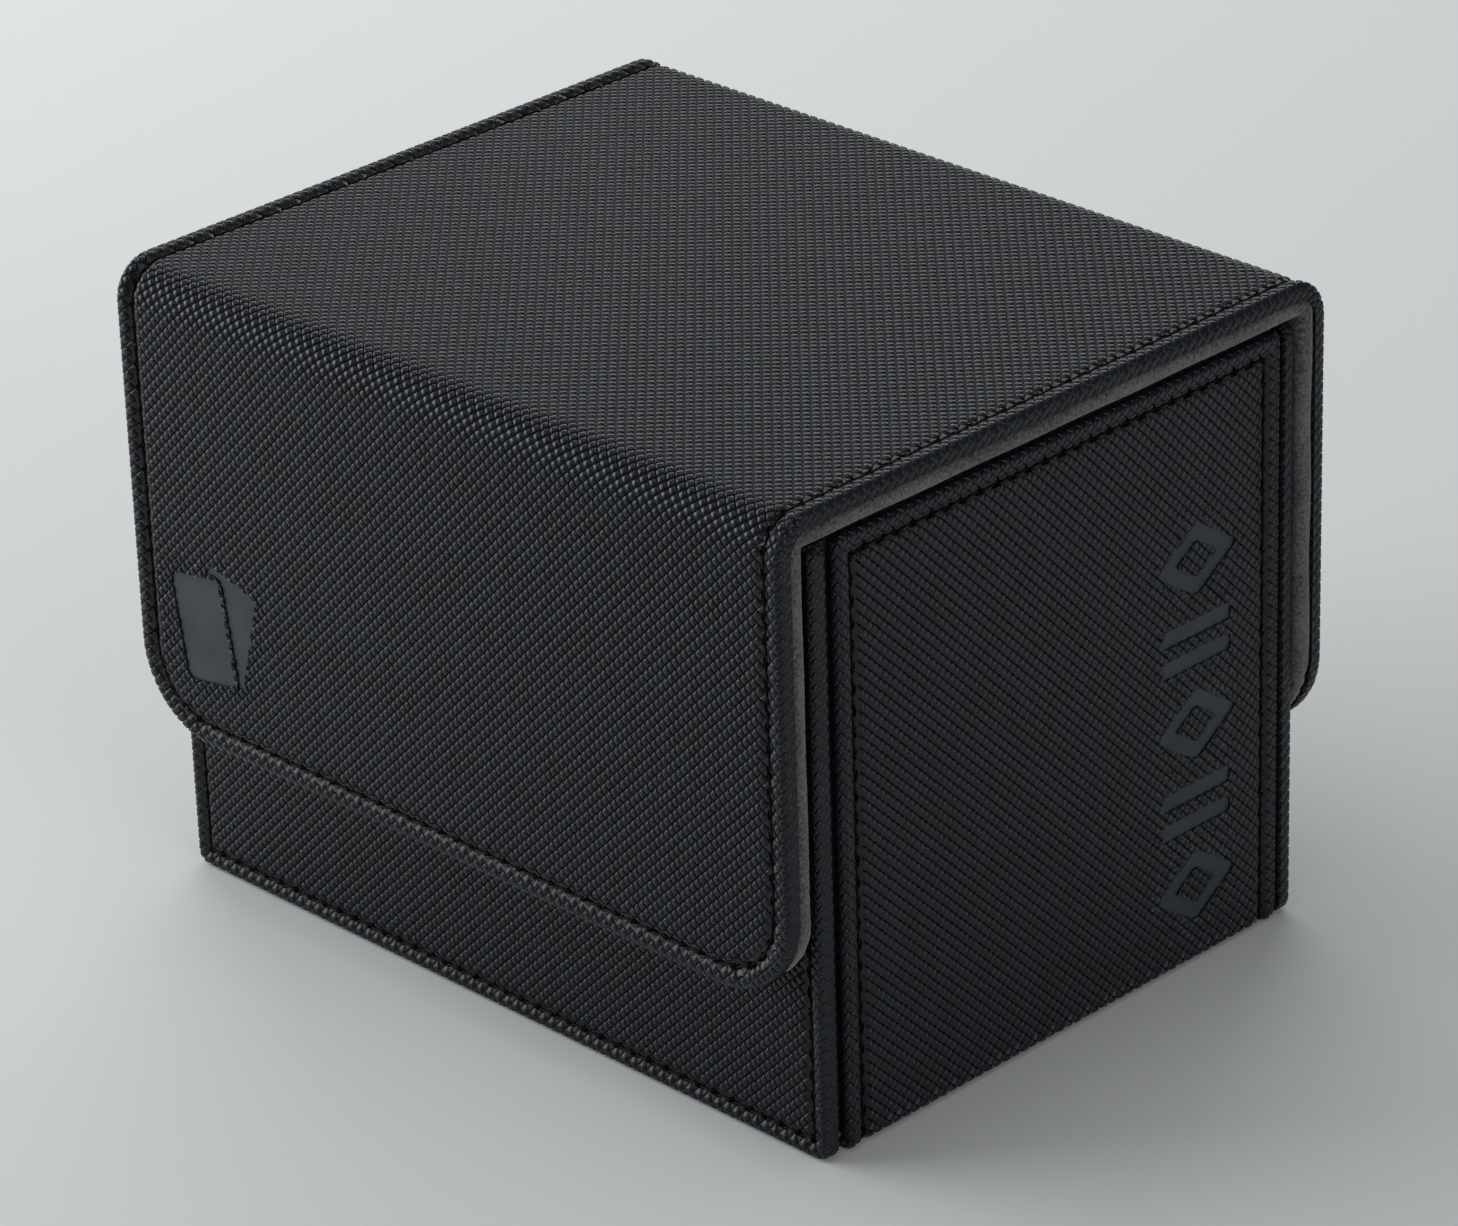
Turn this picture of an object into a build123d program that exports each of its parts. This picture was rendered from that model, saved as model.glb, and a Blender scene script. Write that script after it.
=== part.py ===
"""Card deck box: an open leatherette box with a centre partition, and a saddle cover that drapes
over it.

The box is five wrapped panels. The front and back walls are separate panels, and the two sides and
the base sit between them, with a narrow groove along each joint. The cover is a back flap, a lid and
a front flap in one run, joined by two soft creases, and magnets in its flaps hold it to the walls.

Millimetres. +X is to the right of the front, +Y towards the back, +Z up. The origin is on the
ground, at the centre of the footprint of the whole object.
"""
import os
from math import pi

from build123d import *

# The box
body_width = 142.0
body_depth = 105.2
body_height = 101.3
leather = 0.7              # embossed leatherette
wall_board = 2.3           # greyboard inside the front and back walls
side_board = 1.3           # greyboard inside the sides and the base
wall_lining = 0.6          # microfibre glued inside every panel
wall_corner = 2.5          # rounded corners of the front and back walls
turned_edge_radius = 0.8   # leatherette turned round a board's edge
side_recess = 0.2          # the sides lie this far inside the ends of the front and back walls
side_drop = 0.6            # the sides' top edges lie this far below the rim
front_groove = 2.0         # open groove between a side panel and the front wall
rear_groove = 0.4          # the same at the back wall, nearly closed
base_edge_radius = 1.6     # the strip turns under the box with this radius

# The partition between the two rows of cards
partition_height = 91.0
partition_board_thickness = 1.2
partition_cloth = 0.5

# The cover
cover_overhang = 0.9       # the cover is wider than the box by this much at each side
cover_board = 2.0
cover_lining = 2.7         # padded microfibre
front_gap = 2.0            # from the front wall to the flap's lining
back_gap = 0.5
lid_gap = 0.8              # from the rim to the lid's lining
flap_bottom = 28.5         # height of the flaps' lower edges above the ground
flap_corner = 15.0
crease_radius = 6.5        # outer radius of both creases
board_inset = 1.0          # from the panel's edge to its board
lining_inset = 0.3         # from the panel's edge to the cover's lining

# Thread and magnets
thread_width = 0.5
thread_depth = 0.35        # the thread lies in a channel as deep as this
wall_stitch_inset = 3.0
side_stitch_inset = 3.4
cover_stitch_inset = 3.6
magnet_diameter = 10.0
magnet_clearance = 0.1     # all round, in the board's hole
magnet_height = 42.0       # above the ground
magnet_spacing = 46.0
magnet_count = 3

# Derived sizes
wall_shell = leather + wall_board
side_shell = leather + side_board
cover_shell = leather + cover_board
cover_thickness = cover_shell + cover_lining
cover_width = body_width + 2 * cover_overhang
cover_top = body_height + lid_gap + cover_thickness
cover_depth = body_depth + front_gap + back_gap + 2 * cover_thickness
front_y = -cover_depth / 2 + cover_thickness + front_gap      # outer face of the front wall
back_y = front_y + body_depth                                 # outer face of the back wall
middle_y = (front_y + back_y) / 2
side_x = body_width / 2 - side_recess                         # outer face of a side panel
side_front_y = front_y + wall_shell + front_groove
side_back_y = back_y - wall_shell - rear_groove
side_width = side_back_y - side_front_y
side_middle_y = (side_front_y + side_back_y) / 2
side_height = body_height - side_shell - side_drop
side_middle_z = side_shell + side_height / 2
lining_x = side_x - side_shell                                # outer face of a side's lining
well_front_y = front_y + wall_shell
well_back_y = back_y - wall_shell
lining_top = body_height - board_inset

crease_y = cover_depth / 2 - crease_radius                    # centre of a crease's arc, + and -
crease_z = cover_top - crease_radius
lid_length = 2 * crease_y
flap_height = crease_z - flap_bottom
flap_middle_z = flap_bottom + flap_height / 2

# A crease unrolls as it opens, so its hinge line is where that motion turns about one line.
neutral_radius = crease_radius - leather / 2
hinge_y = crease_y + neutral_radius * pi / 4
hinge_z = crease_z + neutral_radius * pi / 4

# Each panel's outer face, with local Z outwards and local Y up (towards the back on the lid)
front_wall_face = Plane((0, front_y, body_height / 2), x_dir=(1, 0, 0), z_dir=(0, -1, 0))
back_wall_face = Plane((0, back_y, body_height / 2), x_dir=(-1, 0, 0), z_dir=(0, 1, 0))
right_side_face = Plane((side_x, side_middle_y, side_middle_z), x_dir=(0, 1, 0), z_dir=(1, 0, 0))
left_side_face = Plane((-side_x, side_middle_y, side_middle_z), x_dir=(0, -1, 0), z_dir=(-1, 0, 0))
base_face = Plane((0, side_middle_y, 0), x_dir=(1, 0, 0), z_dir=(0, 0, -1))
front_flap_face = Plane((0, -cover_depth / 2, flap_middle_z), x_dir=(1, 0, 0), z_dir=(0, -1, 0))
back_flap_face = Plane((0, cover_depth / 2, flap_middle_z), x_dir=(-1, 0, 0), z_dir=(0, 1, 0))
lid_face = Plane((0, 0, cover_top), x_dir=(1, 0, 0), z_dir=(0, 0, 1))

os.makedirs("parts", exist_ok=True)


def save(name, part):
    """Label one finished sub-part and write its STEP file"""
    part.label = name
    export_step(part, f"parts/{name}.step")


# Outlines, drawn on a panel's face about its centre

def wall_outline(inset):
    """A front or back wall, rounded at all four corners"""
    with BuildSketch() as shape:
        RectangleRounded(body_width - 2 * inset, body_height - 2 * inset, max(wall_corner - inset, 0.5))
    return shape.sketch


def side_outline(inset):
    with BuildSketch() as shape:
        Rectangle(side_width - 2 * inset, side_height - 2 * inset)
    return shape.sketch


def base_outline(inset):
    with BuildSketch() as shape:
        Rectangle(2 * (side_x - inset), side_width - 2 * inset)
    return shape.sketch


def lid_outline(inset):
    with BuildSketch() as shape:
        Rectangle(cover_width - 2 * inset, lid_length - 2 * inset)
    return shape.sketch


def flap_outline(inset):
    """A flap, rounded at its two lower corners"""
    with BuildSketch() as shape:
        Rectangle(cover_width - 2 * inset, flap_height - 2 * inset)
        fillet(shape.vertices().group_by(Axis.Y)[0], flap_corner - inset)
    return shape.sketch


# Stitch lines, each a band as wide as the thread

def wall_stitches():
    """A closed line all round the wall"""
    with BuildSketch() as shape:
        add(wall_outline(wall_stitch_inset))
        add(wall_outline(wall_stitch_inset + thread_width), mode=Mode.SUBTRACT)
    return shape.sketch


def side_stitches():
    """Up the front edge of a side, along its top and down its back edge"""
    inner = side_stitch_inset + thread_width
    with BuildSketch() as shape:
        add(side_outline(side_stitch_inset))
        add(side_outline(inner), mode=Mode.SUBTRACT)
        with Locations((0, -inner)):
            Rectangle(side_width - 2 * inner, side_height, mode=Mode.SUBTRACT)
        for side in (-1, 1):
            with Locations((side * (side_width / 2 - side_stitch_inset - thread_width / 2), 0)):
                Rectangle(thread_width, side_height - 2 * side_stitch_inset)
    return shape.sketch


def lid_stitches():
    """One straight line along each side edge of the lid"""
    with BuildSketch() as shape:
        for side in (-1, 1):
            with Locations((side * (cover_width / 2 - cover_stitch_inset - thread_width / 2), 0)):
                Rectangle(thread_width, lid_length)
    return shape.sketch


def flap_stitches():
    """Down one side of a flap, round its lower corners and up the other side"""
    inner = cover_stitch_inset + thread_width
    with BuildSketch() as shape:
        add(flap_outline(cover_stitch_inset))
        add(flap_outline(inner), mode=Mode.SUBTRACT)
        with Locations((0, flap_height / 2)):
            Rectangle(cover_width - 2 * inner, 2 * inner, mode=Mode.SUBTRACT)
        for side in (-1, 1):
            with Locations((side * (cover_width / 2 - cover_stitch_inset - thread_width / 2), 0)):
                with Locations((0, flap_height / 2 - cover_stitch_inset)):
                    Rectangle(thread_width, 2 * cover_stitch_inset)
    return shape.sketch


# The edges of a panel's outer face that are turned. The others carry on into a crease or the base.

def all_edges(rim):
    return rim


def all_but_bottom(rim):
    return rim.sort_by(Axis.Z)[1:]


def all_but_top(rim):
    return rim.sort_by(Axis.Z)[:-1]


def both_sides(rim):
    return rim.filter_by(Axis.Y)


# The layers of a panel

def wrapped_skin(face, outline, shell, turned, stitches):
    """Leatherette on a panel's outer face, turned round the edges of its board"""
    with BuildPart() as skin:
        with BuildSketch(face):
            add(outline(0))
        extrude(amount=-shell)
        outer_face = skin.faces().sort_by(Axis(face.origin, face.z_dir))[-1]
        fillet(turned(outer_face.edges()), turned_edge_radius)
        with BuildSketch(face.offset(-leather)):
            add(outline(board_inset))
        extrude(amount=-(shell - leather), mode=Mode.SUBTRACT)
        with BuildSketch(face):
            add(stitches())
        extrude(amount=-thread_depth, mode=Mode.SUBTRACT)
    return skin.part


def thread(face, stitches):
    """The thread in its channel, flush with the leatherette"""
    with BuildPart() as line:
        with BuildSketch(face):
            add(stitches())
        extrude(amount=-thread_depth)
    return line.part


def magnet_spots(height):
    return Locations(*[(magnet_spacing * (i - (magnet_count - 1) / 2), height) for i in range(magnet_count)])


def board_in(face, outline, thickness, magnets_at=None):
    """The stiff board under the leatherette, with a hole for each magnet"""
    with BuildPart() as board:
        with BuildSketch(face.offset(-leather)):
            add(outline(board_inset))
            if magnets_at is not None:
                with magnet_spots(magnets_at):
                    Circle(magnet_diameter / 2 + magnet_clearance, mode=Mode.SUBTRACT)
        extrude(amount=-thickness)
    return board.part


def magnets_in(face, thickness, magnets_at):
    """A row of disc magnets in the board's holes"""
    with BuildPart() as magnets:
        with BuildSketch(face.offset(-leather)):
            with magnet_spots(magnets_at):
                Circle(magnet_diameter / 2)
        extrude(amount=-thickness)
    return magnets.part


# Front and back walls

wall_magnets_at = magnet_height - body_height / 2
for wall, face in (("front_wall", front_wall_face), ("back_wall", back_wall_face)):
    save(f"{wall}_skin", wrapped_skin(face, wall_outline, wall_shell, all_edges, wall_stitches))
    save(f"{wall}_board", board_in(face, wall_outline, wall_board, wall_magnets_at))
    save(f"{wall}_magnets", magnets_in(face, wall_board, wall_magnets_at))
    save(f"{wall}_stitching", thread(face, wall_stitches))

# The linings of the front and back walls stand on the base's lining, between the sides' linings.
wall_lining_bottom = side_shell + wall_lining
wall_lining_z = (wall_lining_bottom + lining_top) / 2 - body_height / 2
for wall, face in (("front_wall", front_wall_face), ("back_wall", back_wall_face)):
    with BuildPart() as wall_cloth:
        with BuildSketch(face.offset(-wall_shell)):
            with Locations((0, wall_lining_z)):
                Rectangle(2 * (lining_x - wall_lining), lining_top - wall_lining_bottom)
        extrude(amount=-wall_lining)
    save(f"{wall}_lining", wall_cloth.part)

# Left and right sides. Their linings reach the walls, and close the bottom of the grooves.

well_depth = well_back_y - well_front_y
side_lining_z = (side_shell + lining_top) / 2 - side_middle_z
for side, face in (("left_side", left_side_face), ("right_side", right_side_face)):
    save(f"{side}_skin", wrapped_skin(face, side_outline, side_shell, all_but_bottom, side_stitches))
    save(f"{side}_board", board_in(face, side_outline, side_board))
    save(f"{side}_stitching", thread(face, side_stitches))
    to_well_middle = (middle_y - side_middle_y) * face.x_dir.Y
    with BuildPart() as side_cloth:
        with BuildSketch(face.offset(-side_shell)):
            with Locations((to_well_middle, side_lining_z)):
                Rectangle(well_depth, lining_top - side_shell)
        extrude(amount=-wall_lining)
    save(f"{side}_lining", side_cloth.part)

# The base, whose leatherette turns up into the sides

with BuildPart() as base_skin:
    with BuildSketch(base_face):
        add(base_outline(0))
    extrude(amount=-side_shell)
    turned_under = base_skin.edges().filter_by(Axis.Y).group_by(Axis.Z)[0]
    fillet(turned_under, base_edge_radius)
    with BuildSketch(base_face.offset(-leather)):
        add(base_outline(side_shell))
    extrude(amount=-side_board, mode=Mode.SUBTRACT)
save("base_skin", base_skin.part)

with BuildPart() as base_board:
    with BuildSketch(base_face.offset(-leather)):
        add(base_outline(side_shell))
    extrude(amount=-side_board)
save("base_board", base_board.part)

with BuildPart() as base_lining:
    with BuildSketch(Plane((0, middle_y, side_shell))):
        Rectangle(2 * (lining_x - wall_lining), well_depth)
    extrude(amount=wall_lining)
save("base_lining", base_lining.part)

# The partition: a board in a cloth sleeve, from the front lining to the back one

partition_length = well_depth - 2 * wall_lining
partition_width = partition_board_thickness + 2 * partition_cloth
with BuildPart() as partition_board:
    with BuildSketch(Plane((0, middle_y, wall_lining_bottom))):
        Rectangle(partition_board_thickness, partition_length)
    extrude(amount=partition_height - partition_cloth)
save("partition_board", partition_board.part)

with BuildPart() as partition_lining:
    with BuildSketch(Plane((0, middle_y, wall_lining_bottom))):
        Rectangle(partition_width, partition_length)
    extrude(amount=partition_height)
    with BuildSketch(Plane((0, middle_y, wall_lining_bottom))):
        Rectangle(partition_board_thickness, partition_length)
    extrude(amount=partition_height - partition_cloth, mode=Mode.SUBTRACT)
save("partition_lining", partition_lining.part)

# The cover's three panels

flap_magnets_at = magnet_height - flap_middle_z
for flap, face in (("front_flap", front_flap_face), ("back_flap", back_flap_face)):
    save(f"{flap}_skin", wrapped_skin(face, flap_outline, cover_shell, all_but_top, flap_stitches))
    save(f"{flap}_board", board_in(face, flap_outline, cover_board, flap_magnets_at))
    save(f"{flap}_magnets", magnets_in(face, cover_board, flap_magnets_at))
    save(f"{flap}_stitching", thread(face, flap_stitches))

save("lid_skin", wrapped_skin(lid_face, lid_outline, cover_shell, both_sides, lid_stitches))
save("lid_board", board_in(lid_face, lid_outline, cover_board))
save("lid_stitching", thread(lid_face, lid_stitches))

for panel, face, outline in (
    ("front_flap", front_flap_face, flap_outline),
    ("back_flap", back_flap_face, flap_outline),
    ("lid", lid_face, lid_outline),
):
    with BuildPart() as panel_cloth:
        with BuildSketch(face.offset(-cover_shell)):
            add(outline(lining_inset))
        extrude(amount=-cover_lining)
    save(f"{panel}_lining", panel_cloth.part)


# The creases, with no board in them: the leatherette turns softly, the lining nearly square

def quarter_disc(radius, direction):
    """A quarter of a disc, from the flap's top edge up to the lid's end"""
    with BuildSketch() as shape:
        Circle(radius)
        with Locations((direction * radius, radius)):
            Rectangle(2 * radius, 2 * radius, mode=Mode.INTERSECT)
    return shape.sketch


def square_corner(size, direction):
    """The square that the lining's corner fills, from the centre of the crease's arc"""
    with BuildSketch() as shape:
        with Locations((direction * size / 2, size / 2)):
            Rectangle(size, size)
    return shape.sketch


def crease_thread(centre, direction):
    """The two lengths of thread that cross a crease"""
    spot = cover_width / 2 - cover_stitch_inset - thread_width / 2
    with BuildPart() as crossing:
        for x in (-spot, spot):
            with BuildSketch(centre.offset(x)):
                add(quarter_disc(crease_radius, direction))
                add(quarter_disc(crease_radius - thread_depth, direction), mode=Mode.SUBTRACT)
            extrude(amount=thread_width / 2, both=True)
    return crossing.part


lining_outside = crease_radius - cover_shell
lining_inside = crease_radius - cover_thickness
for crease, direction in (("rear_crease", 1), ("front_crease", -1)):
    centre = Plane((0, direction * crease_y, crease_z), x_dir=(0, 1, 0), z_dir=(1, 0, 0))
    crossing = crease_thread(centre, direction)
    save(f"{crease}_stitching", crossing)
    with BuildPart() as crease_skin:
        with BuildSketch(centre):
            add(quarter_disc(crease_radius, direction))
            add(square_corner(lining_outside, direction), mode=Mode.SUBTRACT)
        extrude(amount=cover_width / 2, both=True)
        add(crossing, mode=Mode.SUBTRACT)
    save(f"{crease}_skin", crease_skin.part)
    with BuildPart() as crease_lining:
        with BuildSketch(centre):
            add(square_corner(lining_outside, direction))
            add(square_corner(lining_inside, direction), mode=Mode.SUBTRACT)
        extrude(amount=cover_width / 2 - lining_inset, both=True)
    save(f"{crease}_lining", crease_lining.part)

print("hinge lines at y = +/-", round(hinge_y, 3), "z =", round(hinge_z, 3))
print("cover top", cover_top, "cover depth", cover_depth, "box from y", front_y, "to", back_y)
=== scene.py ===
"""Card deck box: its looks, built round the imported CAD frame. Metres, +Z up."""
from math import atan2, ceil, cos, pi, radians, sin, sqrt

import bmesh
import bpy
import numpy as np
from mathutils import Matrix, Vector


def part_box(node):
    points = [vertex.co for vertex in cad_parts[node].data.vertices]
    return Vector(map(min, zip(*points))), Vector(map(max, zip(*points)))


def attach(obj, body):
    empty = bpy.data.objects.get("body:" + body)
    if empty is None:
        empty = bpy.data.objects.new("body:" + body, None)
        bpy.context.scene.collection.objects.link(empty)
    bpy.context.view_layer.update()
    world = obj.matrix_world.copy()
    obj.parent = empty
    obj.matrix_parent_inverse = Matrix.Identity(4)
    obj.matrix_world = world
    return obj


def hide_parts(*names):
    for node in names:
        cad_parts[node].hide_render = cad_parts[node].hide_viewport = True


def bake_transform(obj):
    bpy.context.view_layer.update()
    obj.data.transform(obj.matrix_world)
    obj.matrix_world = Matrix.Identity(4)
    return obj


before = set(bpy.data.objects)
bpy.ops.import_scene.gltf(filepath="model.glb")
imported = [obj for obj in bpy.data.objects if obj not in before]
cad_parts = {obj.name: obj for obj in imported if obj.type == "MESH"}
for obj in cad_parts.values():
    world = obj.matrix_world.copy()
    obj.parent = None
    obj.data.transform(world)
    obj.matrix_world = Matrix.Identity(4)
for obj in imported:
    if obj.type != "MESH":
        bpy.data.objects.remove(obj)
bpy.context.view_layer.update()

# ---------------------------------------------------------------------------------------------
# Front and back walls
# Each wall is a greyboard panel with embossed leatherette glued on and turned round its edges.
# A line of lockstitch runs all round it, pulled down into a channel.

MM = 0.001                    # sheets are worked out flat, in millimetres, and then put in place

leather = 0.7                 # leatherette and its backing, down to the board
diamond = 2.0                 # the emboss repeats this often across and along a panel
slope_width = 0.36            # from the valley to the top of a bump
emboss_depth = 0.32
dome = 0.07                   # the middle of a bump stands above its rim
edge_radius = 1.0             # outside of a turned edge
tuck_radius = 0.4             # where the leatherette goes under the board
edge_puff = 0.20              # the turned edge swells between the stitches and the outline
edge_flattening = 0.56        # share of the relief that is lost where the sheet is stretched over an edge
stitch_pitch = 3.5
channel_width = 0.75
channel_depth = 0.26
channel_flattening = 0.85     # share of a bump that the stitches pull flat
channel_shade = 0.75          # how much darker painted shade makes the stitch channel
hole_size = (1.20, 0.70)      # a needle hole is pulled long by its thread
hole_depth = 0.42
hole_floor = 0.06             # what is left of the sheet under a hole, over the board
hole_rim_depth, hole_cone = 0.48, 0.14
thread_width = 0.40
thread_depth = 0.52
thread_slant = 6              # degrees; a lockstitch lies a little across its line
everywhere = (-1e3, 1e3)      # a span of v that takes in the whole of a sheet
wall_corner = 2.5
wall_stitch_inset = 3.0
wall_turn_in = 3.6            # how far the leatherette goes under a wall's lining


def corners_mm(*nodes):
    """Lowest and highest corners of some CAD nodes, in millimetres"""
    boxes = [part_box(node) for node in nodes]
    low = np.min([np.array(box[0]) for box in boxes], axis=0)
    high = np.max([np.array(box[1]) for box in boxes], axis=0)
    return low / MM, high / MM


class Panel:
    """A flat sheet with rounded corners, and how its edges are turned"""

    def __init__(self, half_u, half_v, corner, shell, inset=0, turn_in=1.5, turn_radius=edge_radius):
        self.half = (half_u, half_v)
        self.corner = corner
        self.inset = inset                      # from the outline to the stitches
        self.turn_radius = turn_radius
        self.side_length = shell - turn_radius - tuck_radius
        self.turn_length = (turn_radius + tuck_radius) * pi / 2 + self.side_length
        self.reach = self.turn_length + turn_in - turn_radius

    def outline(self, u, v):
        """Distance outside the panel's outline, and the direction straight out of it"""
        past_u = np.abs(u) - (self.half[0] - self.corner)
        past_v = np.abs(v) - (self.half[1] - self.corner)
        out_u, out_v = np.maximum(past_u, 0), np.maximum(past_v, 0)
        out = np.hypot(out_u, out_v)
        distance = out + np.minimum(np.maximum(past_u, past_v), 0) - self.corner
        at_corner = out > 1e-9
        safe = np.maximum(out, 1e-9)
        toward_u = np.where(at_corner, out_u / safe, past_u > past_v) * np.sign(u)
        toward_v = np.where(at_corner, out_v / safe, past_v >= past_u) * np.sign(v)
        return distance, toward_u, toward_v

    def turned(self, flat):
        """Turn the sheet round the edges of its board: flat (u, v, relief) to (u, v, height)"""
        u, v, relief = flat.T
        distance, toward_u, toward_v = self.outline(u, v)
        run = np.maximum(distance + self.turn_radius, 0)
        first = self.turn_radius * pi / 2
        second = first + self.side_length
        third = second + tuck_radius * pi / 2
        bend = np.minimum(run, first) / self.turn_radius
        tuck_bend = np.clip(run - second, 0, third - second) / tuck_radius
        under = np.maximum(run - third, 0)
        out = self.turn_radius * np.sin(bend) - tuck_radius * (1 - np.cos(tuck_bend)) - under
        down = (
            self.turn_radius * (1 - np.cos(bend))
            + np.clip(run - first, 0, self.side_length)
            + tuck_radius * np.sin(tuck_bend)
        )
        lean = bend + tuck_bend
        shift = out + relief * np.sin(lean) - run
        height = relief * np.cos(lean) - down
        return np.column_stack((u + toward_u * shift, v + toward_v * shift, height))

    def needle_holes(self):
        """Evenly spaced holes along the stitch line: their places, and the line's heading there"""
        a, b = self.half[0] - self.inset, self.half[1] - self.inset
        radius = max(self.corner - self.inset, 0.3)
        line = []
        for turn, (side_u, side_v) in enumerate(((1, 1), (-1, 1), (-1, -1), (1, -1))):
            for angle in np.linspace(0, pi / 2, 9) + turn * pi / 2:
                at_u = side_u * (a - radius) + radius * cos(angle)
                at_v = side_v * (b - radius) + radius * sin(angle)
                line.append((at_u, at_v))
        line = np.array(line + line[:1])
        along = np.concatenate(([0], np.cumsum(np.hypot(*np.diff(line, axis=0).T))))
        places = np.linspace(0, along[-1], round(along[-1] / stitch_pitch), endpoint=False)
        holes = np.column_stack([np.interp(places, along, line[:, axis]) for axis in (0, 1)])
        ahead = np.roll(holes, -1, axis=0) - np.roll(holes, 1, axis=0)
        return holes, np.arctan2(ahead[:, 1], ahead[:, 0])


def flat_points(mesh):
    points = np.empty(len(mesh.vertices) * 3)
    mesh.vertices.foreach_get("co", points)
    return points.reshape(-1, 3)


def put_in_place(mesh, flat, place, crease_angle=180):
    """Keep the flat sheet as the UV map, one unit to a decimetre, and move it onto the object"""
    layer = mesh.uv_layers.new(name="sheet")
    loop_points = np.empty(len(mesh.loops), dtype=np.int32)
    mesh.loops.foreach_get("vertex_index", loop_points)
    layer.uv.foreach_set("vector", (flat[loop_points, :2] * 0.01).ravel())
    mesh.vertices.foreach_set("co", (place * MM).ravel())
    mesh.update()
    mesh.shade_smooth()
    if crease_angle < 180:
        mesh.set_sharp_from_angle(angle=radians(crease_angle))


def trim(bm, panel, span, reach):
    """Delete the cells outside the panel's turned edges, or outside the given span of v"""
    centres = np.array([face.calc_center_median() for face in bm.faces])
    distance = panel.outline(centres[:, 0], centres[:, 1])[0]
    unwanted = (distance > reach) | (centres[:, 1] < span[0]) | (centres[:, 1] > span[1])
    spare = [face for face, drop in zip(bm.faces[:], unwanted) if drop]
    bmesh.ops.delete(bm, geom=spare, context="FACES")


def embossed_sheet(panel, span):
    """Flat leatherette, bump by bump"""
    cell = diamond / sqrt(2)
    count = 2 * ceil((sum(panel.half) + 2 * panel.reach) / diamond)
    bm = bmesh.new()
    slanted = Matrix.Rotation(pi / 4, 4, "Z")
    bmesh.ops.create_grid(
        bm, x_segments=count, y_segments=count, size=count * cell / 2, matrix=slanted
    )
    trim(bm, panel, span, panel.reach)
    bumps = bm.faces[:]
    bmesh.ops.inset_individual(bm, faces=bumps, thickness=slope_width, depth=emboss_depth)
    bmesh.ops.poke(bm, faces=bumps, offset=dome)
    return bm


def sink_stitches(flat, panel):
    """Press the channel and the needle holes into the relief, and swell the edge outside them.
    Returns how much relief the edges keep, and how light the channel's painted shade leaves it, point by
    point."""
    distance = panel.outline(flat[:, 0], flat[:, 1])[0]
    line = np.exp(-(((distance + panel.inset) / channel_width) ** 2))
    swell = np.clip((distance + panel.inset) / panel.inset, 0, 1)
    pressed = 1 - edge_flattening * np.clip((distance + 2 * edge_radius) / edge_radius, 0, 1)
    flat[:, 2] = (flat[:, 2] * (1 - channel_flattening * line) - emboss_depth - dome) * pressed
    flat[:, 2] += edge_puff * np.sin(pi * swell) - channel_depth * line
    holes, heading = panel.needle_holes()
    near = np.flatnonzero(line > 0.02)
    away_u = flat[near, 0, None] - holes[None, :, 0]
    away_v = flat[near, 1, None] - holes[None, :, 1]
    along = away_u * np.cos(heading) + away_v * np.sin(heading)
    across = away_v * np.cos(heading) - away_u * np.sin(heading)
    pull = np.exp(-((along / hole_size[0]) ** 2) - (across / hole_size[1]) ** 2).max(axis=1)
    flat[near, 2] = np.maximum(flat[near, 2] - hole_depth * pull, hole_floor - leather)
    # The channel is darkened with painted shade, carried through the relief attribute
    return pressed, 1 - channel_shade * line


def as_mesh(bm, name):
    mesh = bpy.data.meshes.new(name)
    bm.to_mesh(mesh)
    bm.free()
    return mesh


def leather_piece(name, panel, place, span=everywhere, marks=()):
    """An embossed sheet, stitched and turned round its board, then placed on the object.
    Its relief attribute is 0 in the valleys, which the material darkens with painted shade, and 1 on the
    bumps."""
    bm = embossed_sheet(panel, span)
    if marks:
        cut_marks(bm, marks, keep_marks=False)
    mesh = as_mesh(bm, name)
    flat = flat_points(mesh)
    sheet = flat.copy()
    relief = np.clip(flat[:, 2] / emboss_depth, 0, 1)
    sheet[:, 2] *= 1 + 0.10 * np.sin(flat[:, 0] * 1.7 + flat[:, 1] * 0.9) * np.sin(flat[:, 1] * 2.3)
    pressed, light = sink_stitches(sheet, panel)
    relief = (1 - (1 - relief) * pressed) * light
    put_in_place(mesh, flat, place(*panel.turned(sheet).T), crease_angle=50)
    mesh.attributes.new("relief", "FLOAT", "POINT").data.foreach_set("value", relief)
    mesh.materials.append(leatherette)
    return add_piece(name, mesh)


def thread_piece(name, panel, place, span=everywhere):
    """Every stitch is a short length of thread that dips into a needle hole at both ends"""
    holes, heading = panel.needle_holes()
    bm = bmesh.new()
    for start, end, turn in zip(holes, np.roll(holes, -1, axis=0), heading):
        middle = (start + end) / 2
        if not span[0] < middle[1] < span[1]:
            continue
        run = end - start
        slant = atan2(run[1], run[0]) + radians(thread_slant)
        seat = Matrix.Translation((*middle, -thread_depth)) @ Matrix.Rotation(slant, 4, "Z")
        shape = Matrix.Diagonal((float(np.hypot(*run)) * 0.98, thread_width, thread_width, 1))
        lie = Matrix.Rotation(pi / 2, 4, "Y")
        bmesh.ops.create_uvsphere(bm, u_segments=6, v_segments=6, radius=0.5, matrix=seat @ shape @ lie)
        # Each needle hole is a sunken cone in the near-black hole material, which is painted shadow
        seat = Matrix.Translation((*start, -hole_rim_depth)) @ Matrix.Rotation(turn, 4, "Z")
        shape = Matrix.Diagonal((hole_size[0] / hole_size[1], 1, 1, 1))
        rim = bmesh.ops.create_circle(
            bm, segments=10, radius=hole_size[1], cap_ends=True, matrix=seat @ shape
        )
        faces = list({face for vert in rim["verts"] for face in vert.link_faces})
        for face in bmesh.ops.poke(bm, faces=faces, offset=-hole_cone)["faces"]:
            face.material_index = 1
    mesh = as_mesh(bm, name)
    flat = flat_points(mesh)
    put_in_place(mesh, flat, place(*flat.T))
    mesh.materials.append(thread)
    mesh.materials.append(needle_hole)
    return add_piece(name, mesh)


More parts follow.
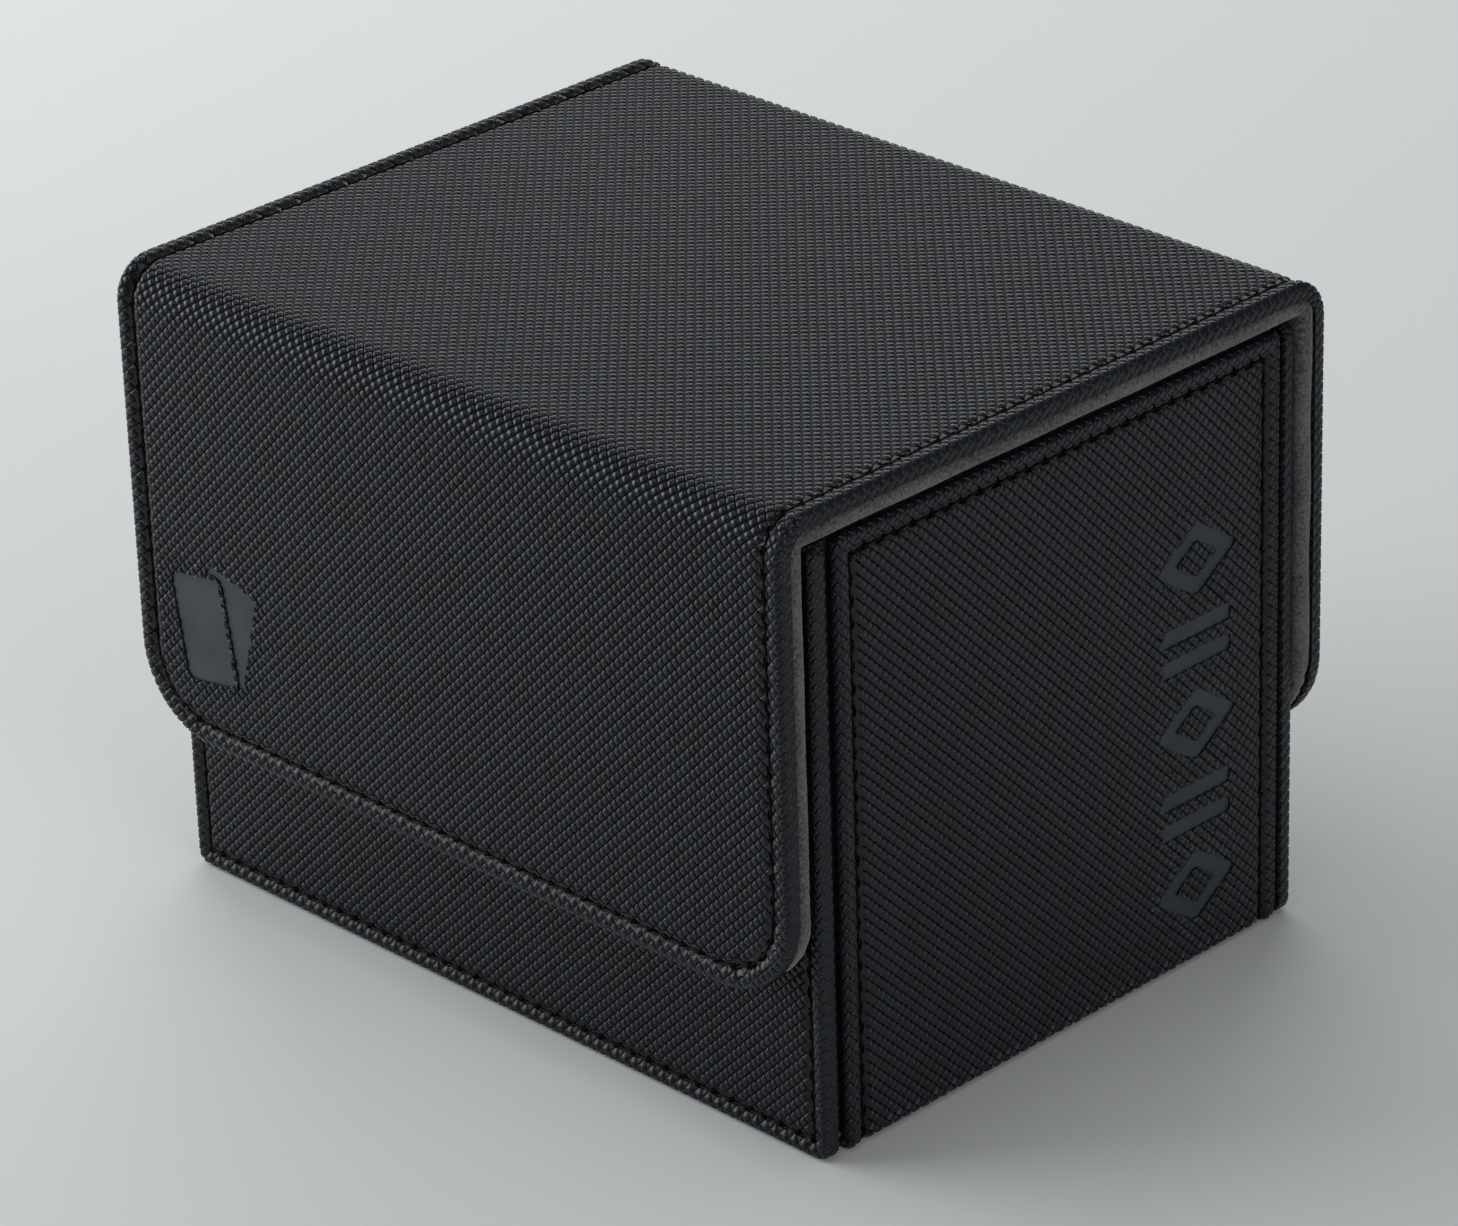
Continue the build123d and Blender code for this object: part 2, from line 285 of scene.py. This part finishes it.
def add_piece(name, mesh):
    """Put a finished mesh in the scene as an object of the given name"""
    obj = bpy.data.objects.new(name, mesh)
    bpy.context.scene.collection.objects.link(obj)
    return obj


def linear(hex_colour):
    """A colour written as sRGB hex, as the linear values that a shader wants"""
    values = [int(hex_colour[i : i + 2], 16) / 255 for i in (1, 3, 5)]
    return (*[v / 12.92 if v <= 0.04045 else ((v + 0.055) / 1.055) ** 2.4 for v in values], 1)


def node(material, kind, links=(), **settings):
    """Add a shader node. links are (input, output socket of another node) pairs."""
    tree = material.node_tree
    made = tree.nodes.new(kind)
    inputs = settings.pop("inputs", {})
    for key, value in settings.items():
        setattr(made, key, value)
    for key, value in inputs.items():
        made.inputs[key].default_value = value
    for key, socket in links:
        tree.links.new(socket, made.inputs[key])
    return made


def new_material(name):
    material = bpy.data.materials.new(name)
    material.use_nodes = True
    material.node_tree.nodes.clear()
    return material


def ramp(made, *stops):
    """Set a colour ramp's stops, as (position, hex colour) pairs"""
    elements = made.color_ramp.elements
    while len(elements) < len(stops):
        elements.new(0.5)
    for element, (position, colour) in zip(elements, stops):
        element.position = position
        element.color = linear(colour)


# Embossed polyurethane leatherette: charcoal black, satin, with a fine pebble over the bumps
leatherette = new_material("embossed_pu_leatherette")
uv = node(leatherette, "ShaderNodeUVMap", uv_map="sheet")
mottle = node(leatherette, "ShaderNodeTexNoise", [("Vector", uv.outputs[0])],
              inputs={"Scale": 14, "Detail": 4, "Roughness": 0.6})
tone = node(leatherette, "ShaderNodeValToRGB", [("Fac", mottle.outputs["Fac"])])
ramp(tone, (0.35, "#12161b"), (0.68, "#181d24"))
# Painted shade: where the relief attribute is low, in the valleys and the stitch channel, the base colour
# goes towards near-black #08090b
height = node(leatherette, "ShaderNodeAttribute", attribute_name="relief")
shade = node(leatherette, "ShaderNodeMix", [(0, height.outputs["Fac"]), (7, tone.outputs["Color"])],
             data_type="RGBA", inputs={6: linear("#08090b")})
pebble = node(leatherette, "ShaderNodeTexNoise", [("Vector", uv.outputs[0])],
              inputs={"Scale": 420, "Detail": 3, "Roughness": 0.55})
grain = node(leatherette, "ShaderNodeBump", [("Height", pebble.outputs["Fac"])],
             inputs={"Strength": 0.35, "Distance": 0.00012})
gloss = node(leatherette, "ShaderNodeMapRange", [("Value", pebble.outputs["Fac"])],
             inputs={"From Min": 0.3, "From Max": 0.7, "To Min": 0.22, "To Max": 0.34})
coated = node(leatherette, "ShaderNodeBsdfPrincipled",
              [("Base Color", shade.outputs[2]), ("Normal", grain.outputs[0]),
               ("Roughness", gloss.outputs[0])],
              inputs={"IOR": 1.5, "Specular IOR Level": 0.28})
node(leatherette, "ShaderNodeOutputMaterial", [("Surface", coated.outputs[0])])

# Where a hot die has pressed the bumps flat, the coating is smoother and a little paler
pressed_leatherette = leatherette.copy()
pressed_leatherette.name = "die_pressed_pu_leatherette"
for made in pressed_leatherette.node_tree.nodes:
    if made.type == "VALTORGB":
        ramp(made, (0.35, "#303438"), (0.68, "#3a3f44"))
    elif made.type == "MAP_RANGE":
        made.inputs["To Min"].default_value, made.inputs["To Max"].default_value = 0.40, 0.52

# Bonded polyester sewing thread: near black, twisted
thread = new_material("bonded_polyester_thread")
uv = node(thread, "ShaderNodeUVMap", uv_map="sheet")
fibre = node(thread, "ShaderNodeTexNoise", [("Vector", uv.outputs[0])],
             inputs={"Scale": 300, "Detail": 2})
tone = node(thread, "ShaderNodeValToRGB", [("Fac", fibre.outputs["Fac"])])
ramp(tone, (0.3, "#040405"), (0.7, "#0a0a0c"))
strand = node(thread, "ShaderNodeBsdfPrincipled", [("Base Color", tone.outputs["Color"])],
              inputs={"Roughness": 0.7, "Specular IOR Level": 0.15})
node(thread, "ShaderNodeOutputMaterial", [("Surface", strand.outputs[0])])

# The inside of a needle hole: near-black painted shadow, where hardly any light gets in
needle_hole = new_material("needle_hole_painted_shadow")
uv = node(needle_hole, "ShaderNodeUVMap", uv_map="sheet")
fibre = node(needle_hole, "ShaderNodeTexNoise", [("Vector", uv.outputs[0])], inputs={"Scale": 300})
tone = node(needle_hole, "ShaderNodeValToRGB", [("Fac", fibre.outputs["Fac"])])
ramp(tone, (0.3, "#010101"), (0.7, "#050505"))
hollow = node(needle_hole, "ShaderNodeBsdfPrincipled", [("Base Color", tone.outputs["Color"])],
              inputs={"Roughness": 1.0, "Specular IOR Level": 0.05})
node(needle_hole, "ShaderNodeOutputMaterial", [("Surface", hollow.outputs[0])])

for wall, side in (("front_wall", -1), ("back_wall", 1)):
    low, high = corners_mm(f"{wall}_skin")
    half_width, half_height = (high[0] - low[0]) / 2, (high[2] - low[2]) / 2
    thickness = high[1] - low[1]
    wall_panel = Panel(
        half_width, half_height, wall_corner, thickness, wall_stitch_inset, wall_turn_in
    )
    outer = low[1] if side < 0 else high[1]
    middle_z = (low[2] + high[2]) / 2

    def on_wall(u, v, w):
        return np.column_stack((-side * u, outer + side * w, np.maximum(middle_z + v, 0)))

    covering = leather_piece(f"{wall}_leatherette", wall_panel, on_wall)
    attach(covering, "box")
    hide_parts(f"{wall}_skin")
    line = thread_piece(f"{wall}_thread", wall_panel, on_wall)
    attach(line, "box")
    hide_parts(f"{wall}_stitching")

# ---------------------------------------------------------------------------------------------
# Sides and base
# One strip of leatherette goes down the left side, under the base and up the right side, over
# three boards. It is stitched like the walls. A column of plain shapes is pressed flat in it.

side_stitch_inset = 3.4
strip_corner = 1.2
base_bend = 1.6
press_depth = 0.40            # the pressed shapes lie this far below the tops of the bumps
press_overlap = 0.05          # the cut bumps' walls go this far past the bottom of a shape

low, high = corners_mm("left_side_skin", "right_side_skin", "base_skin")
strip_flat = high[0] - base_bend                   # half of the flat run under the base
strip_rise = high[2] - base_bend                   # the flat run up a side
strip_bend = base_bend * pi / 2
strip_length = strip_flat + strip_bend + strip_rise
side_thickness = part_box("right_side_board")[1][0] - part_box("right_side_board")[0][0]
strip_panel = Panel(
    (high[1] - low[1]) / 2, strip_length, strip_corner, leather + side_thickness / MM, side_stitch_inset
)
strip_middle_y = (high[1] + low[1]) / 2


def round_the_sides(u, v, w):
    """v runs from the top of the left side, under the base, to the top of the right side"""
    past = np.abs(v) - strip_flat
    bend = np.clip(past / base_bend, 0, pi / 2)
    rise = np.maximum(past - strip_bend, 0)
    run = np.minimum(np.abs(v), strip_flat)
    x = np.sign(v) * (run + (base_bend + w) * np.sin(bend))
    z = base_bend - (base_bend + w) * np.cos(bend) + rise
    return np.column_stack((x, strip_middle_y + u, np.maximum(z, 0)))


def rounded_shape(width, height, radius, centre, turn=0, lozenge=False):
    """A plain convex shape as corner points, anticlockwise, with softened corners"""
    a, b = width / 2, height / 2
    if lozenge:
        corners = [(a, 0), (0, b), (-a, 0), (0, -b)]
    else:
        corners = [(a, -b), (a, b), (-a, b), (-a, -b)]
    bm = bmesh.new()
    bm.faces.new([bm.verts.new((*corner, 0)) for corner in corners])
    bmesh.ops.bevel(
        bm, geom=bm.verts[:], offset=radius, affect="VERTICES", segments=3, profile=0.5, material=-1
    )
    seat = Matrix.Translation((*centre, 0)) @ Matrix.Rotation(radians(turn), 4, "Z")
    bmesh.ops.transform(bm, matrix=seat, verts=bm.verts[:])
    face = bm.faces[:][0]
    outline = [vert.co.xy.copy() for vert in face.verts]
    if face.normal.z < 0:
        outline.reverse()
    bm.free()
    return outline


def inside(outline, points):
    """Which points are inside a convex outline whose corners go anticlockwise"""
    result = np.ones(len(points), dtype=bool)
    for a, b in zip(outline, outline[1:] + outline[:1]):
        result &= (b.x - a.x) * (points[:, 1] - a.y) > (b.y - a.y) * (points[:, 0] - a.x)
    return result


def on_outline(outline, point):
    """Whether a point is on the edge of an outline, to a hundredth of a millimetre"""
    for a, b in zip(outline, outline[1:] + outline[:1]):
        along = (b - a).normalized()
        offset = point - a
        if abs(along.cross(offset)) < 0.01 and -0.01 < along.dot(offset) < (b - a).length + 0.01:
            return True
    return False


def cut_marks(bm, marks, keep_marks):
    """Cut the sheet along every outline, and keep either the pressed shapes or the rest of it.
    marks are (outline, pressed) pairs, and each one overrules those before it."""
    for outline, _ in marks:
        middle = sum(outline, Vector((0, 0))) / len(outline)
        radius = max((corner - middle).length for corner in outline) + 1.5
        local = [face for face in bm.faces if (face.calc_center_median().xy - middle).length < radius]
        geom = list({item for face in local for item in (face, *face.edges, *face.verts)})
        for a, b in zip(outline, outline[1:] + outline[:1]):
            along = b - a
            cut = bmesh.ops.bisect_plane(
                bm, geom=geom, dist=1e-4, plane_co=(*a, 0), plane_no=(along.y, -along.x, 0)
            )
            geom = cut["geom"]
    centres = np.array([face.calc_center_median() for face in bm.faces])
    in_mark = np.zeros(len(centres), dtype=bool)
    for outline, pressed in marks:
        in_mark[inside(outline, centres)] = pressed
    spare = [face for face, drop in zip(bm.faces[:], in_mark != keep_marks) if drop]
    bmesh.ops.delete(bm, geom=spare, context="FACES")
    if not keep_marks:                                  # the cut bumps get walls down to the mark
        rim = []
        for edge in bm.edges:
            middle = (edge.verts[0].co + edge.verts[1].co).xy / 2
            if edge.is_boundary and any(on_outline(outline, middle) for outline, _ in marks):
                rim.append(edge)
        for item in bmesh.ops.extrude_edge_only(bm, edges=rim)["geom"]:
            if isinstance(item, bmesh.types.BMVert):
                item.co.z = emboss_depth + dome - press_depth - press_overlap


def pressed_piece(name, panel, place, marks):
    """The smooth bottoms of the pressed shapes"""
    points = np.array([corner for outline, _ in marks for corner in outline])
    low, high = points.min(axis=0) - 1, points.max(axis=0) + 1
    size = (high - low) / 2
    bm = bmesh.new()
    centre = Matrix.Translation((*((low + high) / 2), 0)) @ Matrix.Diagonal((*size, 1, 1))
    bmesh.ops.create_grid(
        bm, x_segments=max(round(size[0]), 1), y_segments=max(round(size[1]), 1), size=1, matrix=centre
    )
    cut_marks(bm, marks, keep_marks=True)
    mesh = as_mesh(bm, name)
    flat = flat_points(mesh)
    sheet = flat.copy()
    sheet[:, 2] = -press_depth
    put_in_place(mesh, flat, place(*panel.turned(sheet).T))
    mesh.attributes.new("relief", "FLOAT", "POINT").data.foreach_set("value", np.ones(len(flat)))
    mesh.materials.append(pressed_leatherette)
    return add_piece(name, mesh)


# A lozenge with an open middle, then a pair of bars, and so on up the right side
column_y = 31
column_heights = (13.5, 27.5, 41.5, 55.5, 69.5)
column_u = column_y - strip_middle_y
side_marks = []
for row, height in enumerate(column_heights):
    v = strip_flat + strip_bend + height - base_bend
    if row % 2:
        for offset in (-2.6, 2.6):
            side_marks.append((rounded_shape(15.5, 2.8, 0.8, (column_u, v + offset)), True))
    else:
        side_marks.append((rounded_shape(18.5, 12.5, 1.2, (column_u, v), lozenge=True), True))
        side_marks.append((rounded_shape(9.5, 6.4, 0.8, (column_u, v), lozenge=True), False))

strip_split = -0.5            # the strip is made as two pieces, parted near the middle of the base
for side, span, marks, replaced in (
    ("left_side", (everywhere[0], strip_split), (), ["left_side_skin"]),
    ("right_side", (strip_split, everywhere[1]), side_marks, ["right_side_skin", "base_skin"]),
):
    covering = leather_piece(f"{side}_leatherette", strip_panel, round_the_sides, span, marks)
    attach(covering, "box")
    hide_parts(*replaced)
    line = thread_piece(f"{side}_thread", strip_panel, round_the_sides, span)
    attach(line, "box")
    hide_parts(f"{side}_stitching")
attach(pressed_piece("right_side_pressed_shapes", strip_panel, round_the_sides, side_marks), "box")

def soft_box(low, high, edge):
    bm = bmesh.new()
    bmesh.ops.create_cube(bm, size=1)
    seat = Matrix.Translation((high + low) / 2) @ Matrix.Diagonal((*(high - low), 1))
    bmesh.ops.transform(bm, matrix=seat, verts=bm.verts[:])
    bmesh.ops.bevel(
        bm, geom=bm.edges[:], offset=edge, affect="EDGES", segments=2, profile=0.5, material=-1
    )
    return bm


# A strip of plain leatherette behind each groove ties a side to the front or back wall.
strip_thickness, strip_edge = 0.3, 0.1
strip_overlap = 3             # how far it goes behind the side
strip_foot, strip_head = 1, 0.2                    # how far its ends are inside the side's
for wall in ("front_wall", "back_wall"):
    wall_low, wall_high = corners_mm(f"{wall}_skin")
    for side, toward in (("left_side", -1), ("right_side", 1)):
        side_low, side_high = corners_mm(f"{side}_skin")
        cloth_low, cloth_high = corners_mm(f"{side}_lining")
        x = cloth_low[0] if toward < 0 else cloth_high[0]
        x_far = x + toward * strip_thickness
        if wall == "front_wall":
            ends = (wall_high[1], side_low[1] + strip_overlap)
        else:
            ends = (side_high[1] - strip_overlap, wall_low[1])
        low = np.array((min(x, x_far), ends[0], side_low[2] + strip_foot))
        high = np.array((max(x, x_far), ends[1], side_high[2] - strip_head))
        bm = soft_box(low, high, strip_edge)
        mesh = as_mesh(bm, "strip")
        place = flat_points(mesh)
        put_in_place(mesh, place[:, [1, 2, 0]], place)
        # The strip has no relief attribute, so the leatherette material gives it its painted valley shade
        # all over, near black in the groove
        mesh.materials.append(leatherette)
        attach(add_piece(f"{wall}_{side}_joint_strip", mesh), "box")

# ---------------------------------------------------------------------------------------------
# Linings of the box, and the partition
# Brushed microfibre glued to the inside of each panel. The partition is a board in a sleeve of it.

# Brushed microfibre: warm grey, with a short nap that scatters light and hides its weave
microfibre = new_material("brushed_microfibre")
uv = node(microfibre, "ShaderNodeTexCoord")
fuzz = node(microfibre, "ShaderNodeTexNoise", [("Vector", uv.outputs["Object"])],
            inputs={"Scale": 1900, "Detail": 3, "Roughness": 0.7})
patch = node(microfibre, "ShaderNodeTexNoise", [("Vector", uv.outputs["Object"])],
             inputs={"Scale": 90, "Detail": 2, "Roughness": 0.5})
blend = node(microfibre, "ShaderNodeMix", [(2, fuzz.outputs["Fac"]), (3, patch.outputs["Fac"])],
             inputs={0: 0.25})
tone = node(microfibre, "ShaderNodeValToRGB", [("Fac", blend.outputs[0])])
ramp(tone, (0.38, "#1d1c1b"), (0.60, "#6b6863"))
nap = node(microfibre, "ShaderNodeBump", [("Height", fuzz.outputs["Fac"])],
           inputs={"Strength": 0.8, "Distance": 0.0003})
cloth = node(microfibre, "ShaderNodeBsdfPrincipled",
             [("Base Color", tone.outputs["Color"]), ("Normal", nap.outputs[0])],
             inputs={"Roughness": 0.95, "Sheen Weight": 0.3, "Sheen Roughness": 0.5})
node(microfibre, "ShaderNodeOutputMaterial", [("Surface", cloth.outputs[0])])

soft_edge = 0.25
glue_ripple = 0.09            # the cloth isn't glued down quite flat


def ripple(place):
    """A slow unevenness, from -1 to 1"""
    x, y, z = place.T
    return np.sin(x * 0.31 + z * 0.17) * np.sin(y * 0.27 - z * 0.23) * np.cos(z * 0.19 + x * 0.11)


def lining_piece(cad_node):
    """A thin sheet of lining where the CAD node is, with soft edges"""
    bm = soft_box(*corners_mm(cad_node), soft_edge)
    long_edges = [edge for edge in bm.edges if edge.calc_length() > 10]
    bmesh.ops.subdivide_edges(bm, edges=long_edges, cuts=23, use_grid_fill=True)
    bm.normal_update()
    normals = np.array([vert.normal for vert in bm.verts])
    mesh = as_mesh(bm, cad_node)
    place = flat_points(mesh)
    place += normals * (ripple(place) * glue_ripple)[:, None]
    mesh.vertices.foreach_set("co", (place * MM).ravel())
    mesh.shade_smooth()
    mesh.materials.append(microfibre)
    obj = add_piece(cad_node.replace("lining", "cloth"), mesh)
    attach(obj, "box")
    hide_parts(cad_node)


for panel_name in ("front_wall", "back_wall", "left_side", "right_side", "base", "partition"):
    lining_piece(f"{panel_name}_lining")

# ---------------------------------------------------------------------------------------------
# The cover
# Leatherette over three boards, from the back flap over the lid to the front flap. There is no
# board in the two creases, so it bends there. Two plain fanned cards are pressed into the front.

cover_stitch_inset = 3.6
flap_corner = 15.0
crease_radius = 6.5
lid_overlap = 6.0             # the flaps' pieces of the sheet reach this far onto the lid
low, high = corners_mm("lid_skin", "front_flap_skin", "back_flap_skin")
lining_low, lining_high = corners_mm("lid_lining")
cover_top = high[2]
cover_bottom = low[2]
cover_half_depth = high[1]
cover_shell = cover_top - lining_high[2]
cover_lining = lining_high[2] - lining_low[2]
lid_half = cover_half_depth - crease_radius
crease_z = cover_top - crease_radius
crease_arc = crease_radius * pi / 2
cover_length = lid_half + crease_arc + crease_z - cover_bottom
cover_panel = Panel(high[0], cover_length, flap_corner, cover_shell, cover_stitch_inset)


def over_the_box(u, v, w):
    """v runs from the front flap's lower edge, over the lid, to the back flap's lower edge"""
    past = np.abs(v) - lid_half
    bend = np.clip(past / crease_radius, 0, pi / 2)
    hang = np.maximum(past - crease_arc, 0)
    run = np.minimum(np.abs(v), lid_half)
    y = np.sign(v) * (run + (crease_radius + w) * np.sin(bend))
    z = crease_z + (crease_radius + w) * np.cos(bend) - hang
    return np.column_stack((u, y, z))


def ride_on_cover(obj, part):
    """part is 1 for the back flap and its crease, 0 for the lid, -1 for the front flap. Lid pieces go on
    the lid's body; the flaps' pieces have their place baked into their meshes."""
    if part == 0:
        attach(obj, "lid")
    elif part > 0:
        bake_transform(obj)
    else:
        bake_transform(obj)


# The sheet is parted between whole millimetres, so no cell's middle is just on the line
flap_reach = lid_half - lid_overlap + 0.5 - (lid_half % 1)
cover_parts = (
    ("back_flap", 1, (flap_reach, everywhere[1]), ["back_flap", "rear_crease"]),
    ("lid", 0, (-flap_reach, flap_reach), ["lid"]),
    ("front_flap", -1, (everywhere[0], -flap_reach), ["front_flap", "front_crease"]),
)

# The front flap's pressed shapes: a card in front of another one that leans away behind it
fan_u = -54.0
fan_v = -(lid_half + crease_arc + crease_z - 50.5)
front_spot, back_spot = (fan_u - 2.4, fan_v - 1.2), (fan_u + 3.0, fan_v + 0.8)
front_marks = [
    (rounded_shape(11.5, 18.0, 1.6, back_spot, turn=-15), True),
    (rounded_shape(13.1, 19.6, 2.2, front_spot, turn=9), False),
    (rounded_shape(11.5, 18.0, 1.6, front_spot, turn=9), True),
]

for name, part, span, panels in cover_parts:
    marks = front_marks if part < 0 else ()
    covering = leather_piece(f"{name}_leatherette", cover_panel, over_the_box, span, marks)
    ride_on_cover(covering, part)
    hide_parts(*[f"{panel}_skin" for panel in panels])
    line = thread_piece(f"{name}_thread", cover_panel, over_the_box, span)
    ride_on_cover(line, part)
    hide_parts(*[f"{panel}_stitching" for panel in panels])
pressed = pressed_piece("front_flap_pressed_shapes", cover_panel, over_the_box, front_marks)
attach(pressed, "front_flap")

# ---------------------------------------------------------------------------------------------
# Padded lining of the cover
# Microfibre over thin foam, cut a little smaller than the leatherette. Its creases are nearly
# square, because it fills the corners that the boards leave.

lining_inset = cover_panel.half[0] - lining_high[0]
lining_edge = 0.5
outer_turn, inner_turn = 0.8, 0.3
middle_depth = cover_shell + cover_lining / 2
middle_turn = (outer_turn + inner_turn) / 2
lining_flat = cover_half_depth - middle_depth - middle_turn
lining_arc = middle_turn * pi / 2
crease_lines = [lining_flat + lining_arc * step / 4 for step in range(-8, 13)]
lining_hang = cover_top - middle_depth - middle_turn - cover_bottom - lining_inset
lining_panel = Panel(
    lining_high[0], lining_flat + lining_arc + lining_hang, flap_corner - lining_inset, cover_lining,
    inset=cover_stitch_inset - lining_inset, turn_in=0.6, turn_radius=lining_edge,
)


def under_the_cover(u, v, height):
    """Like over_the_box, with nearly square corners. height is measured inwards from its face."""
    depth = cover_lining + height                      # below the back of the leatherette
    turn = outer_turn + (inner_turn - outer_turn) * np.clip(depth / cover_lining, 0, 1)
    far_y = cover_half_depth - cover_shell - depth - turn
    far_z = cover_top - cover_shell - depth - turn
    past = np.abs(v) - lining_flat
    bend = np.clip(past / lining_arc, 0, 1) * pi / 2
    hang = np.maximum(past - lining_arc, 0) / lining_hang
    run = np.minimum(np.abs(v) / lining_flat, 1)
    y = np.sign(v) * (run * far_y + turn * np.sin(bend))
    z = far_z + turn * np.cos(bend) - hang * (far_z - cover_bottom - lining_inset)
    return np.column_stack((u, y, z))


for name, part, span, panels in cover_parts:
    count_u = ceil(lining_panel.half[0] + 3) * 2
    count_v = ceil(lining_panel.half[1] + 3) * 2
    bm = bmesh.new()
    millimetres = Matrix.Diagonal((count_u, count_v, 1, 1))
    bmesh.ops.create_grid(bm, x_segments=count_u, y_segments=count_v, size=0.5, matrix=millimetres)
    span = [np.sign(v) * round(abs(v)) if v not in everywhere else v for v in span]
    trim(bm, lining_panel, span, lining_panel.reach)
    for crease_line in crease_lines:
        if part:
            geom = bm.verts[:] + bm.edges[:] + bm.faces[:]
            bmesh.ops.bisect_plane(bm, geom=geom, plane_co=(0, part * crease_line, 0), plane_no=(0, 1, 0))
    bmesh.ops.reverse_faces(bm, faces=bm.faces[:])
    mesh = as_mesh(bm, f"{name}_cloth")
    flat = flat_points(mesh)
    sheet = flat.copy()
    sheet[:, 2] = glue_ripple * ripple(flat + (0, 0, 40)) - glue_ripple
    distance = lining_panel.outline(flat[:, 0], flat[:, 1])[0]
    sheet[:, 2] -= channel_depth * np.exp(-(((distance + lining_panel.inset) / channel_width) ** 2))
    put_in_place(mesh, flat, under_the_cover(*lining_panel.turned(sheet).T))
    mesh.materials.append(microfibre)
    cloth_part = add_piece(f"{name}_cloth", mesh)
    ride_on_cover(cloth_part, part)
    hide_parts(*[f"{panel}_lining" for panel in panels])

# ---------------------------------------------------------------------------------------------
# Boards and magnets, sealed inside

greyboard = new_material("bookbinders_greyboard")
coord = node(greyboard, "ShaderNodeTexCoord")
fleck = node(greyboard, "ShaderNodeTexNoise", [("Vector", coord.outputs["Object"])],
             inputs={"Scale": 900, "Detail": 5})
tone = node(greyboard, "ShaderNodeValToRGB", [("Fac", fleck.outputs["Fac"])])
ramp(tone, (0.3, "#6e6a63"), (0.7, "#8d8981"))
pulp = node(greyboard, "ShaderNodeBsdfPrincipled", [("Base Color", tone.outputs["Color"])],
            inputs={"Roughness": 0.9})
node(greyboard, "ShaderNodeOutputMaterial", [("Surface", pulp.outputs[0])])

nickel = new_material("nickel_plated_magnet")
coord = node(nickel, "ShaderNodeTexCoord")
haze = node(nickel, "ShaderNodeTexNoise", [("Vector", coord.outputs["Object"])],
            inputs={"Scale": 700, "Detail": 3})
gloss = node(nickel, "ShaderNodeMapRange", [("Value", haze.outputs["Fac"])],
             inputs={"To Min": 0.18, "To Max": 0.34})
plate = node(nickel, "ShaderNodeBsdfPrincipled", [("Roughness", gloss.outputs[0])],
             inputs={"Base Color": linear("#c9c8c4"), "Metallic": 1.0})
node(nickel, "ShaderNodeOutputMaterial", [("Surface", plate.outputs[0])])

for name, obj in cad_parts.items():
    if name.endswith(("_board", "_magnets")):
        finish = greyboard if name.endswith("_board") else nickel
        for material_slot in obj.material_slots:
            material_slot.material = finish

# ---------------------------------------------------------------------------------------------
# Floor, lights and camera

floor_mesh = bpy.data.meshes.new("floor")
bm = bmesh.new()
bmesh.ops.create_grid(bm, x_segments=1, y_segments=1, size=4)
bm.to_mesh(floor_mesh)
bm.free()
floor = bpy.data.objects.new("floor", floor_mesh)
bpy.context.scene.collection.objects.link(floor)
paper = new_material("pale_paper_floor")
card = node(paper, "ShaderNodeBsdfPrincipled", inputs={"Base Color": linear("#f0f0ee"), "Roughness": 0.8})
node(paper, "ShaderNodeOutputMaterial", [("Surface", card.outputs[0])])
floor_mesh.materials.append(paper)


def soft_light(name, where, at, size, power):
    data = bpy.data.lights.new(name, "AREA")
    data.shape = "RECTANGLE"
    data.size, data.size_y = size
    data.energy = power
    data.color = (0.95, 0.98, 1.0)
    lamp = bpy.data.objects.new(name, data)
    lamp.location = where
    lamp.rotation_euler = (Vector(at) - Vector(where)).to_track_quat("-Z", "Y").to_euler()
    bpy.context.scene.collection.objects.link(lamp)


soft_light("key", (-1.05, -0.60, 0.40), (0, -0.05, 0.05), (1.3, 0.8), 14.5)
soft_light("rear_left", (-0.80, 0.75, 0.60), (0, 0, 0.1), (1.1, 0.6), 4.2)
soft_light("right_fill", (0.95, -0.20, 0.40), (0.05, 0, 0.05), (0.6, 0.5), 2.1)
soft_light("overhead", (-0.15, -0.1, 1.4), (0, 0, 0), (0.9, 0.9), 3.4)

world = bpy.data.worlds.new("studio")
world.use_nodes = True
world.node_tree.nodes["Background"].inputs["Color"].default_value = linear("#c8ccd2")
world.node_tree.nodes["Background"].inputs["Strength"].default_value = 0.25
bpy.context.scene.world = world
bpy.context.scene.view_settings.view_transform = "Standard"

azimuth, elevation, roll = radians(45.76), radians(26.19), radians(-1.90)
distance = 0.9985
middle_of_box = Vector((0, 0.00035, 0.05))
aim_right, aim_up = 0.00033, -0.00123
back = Vector((sin(azimuth) * cos(elevation), -cos(azimuth) * cos(elevation), sin(elevation)))
level_right = (-back).cross(Vector((0, 0, 1))).normalized()
level_up = level_right.cross(-back)
right = cos(roll) * level_right + sin(roll) * level_up
up = -sin(roll) * level_right + cos(roll) * level_up
target = middle_of_box + aim_right * level_right + aim_up * level_up
camera_data = bpy.data.cameras.new("camera")
camera_data.sensor_width = 36
camera_data.lens = 157.6
camera = bpy.data.objects.new("camera", camera_data)
spot = target + back * distance
camera.matrix_world = Matrix((right, up, back)).transposed().to_4x4()
camera.location = spot
bpy.context.scene.collection.objects.link(camera)
bpy.context.scene.camera = camera
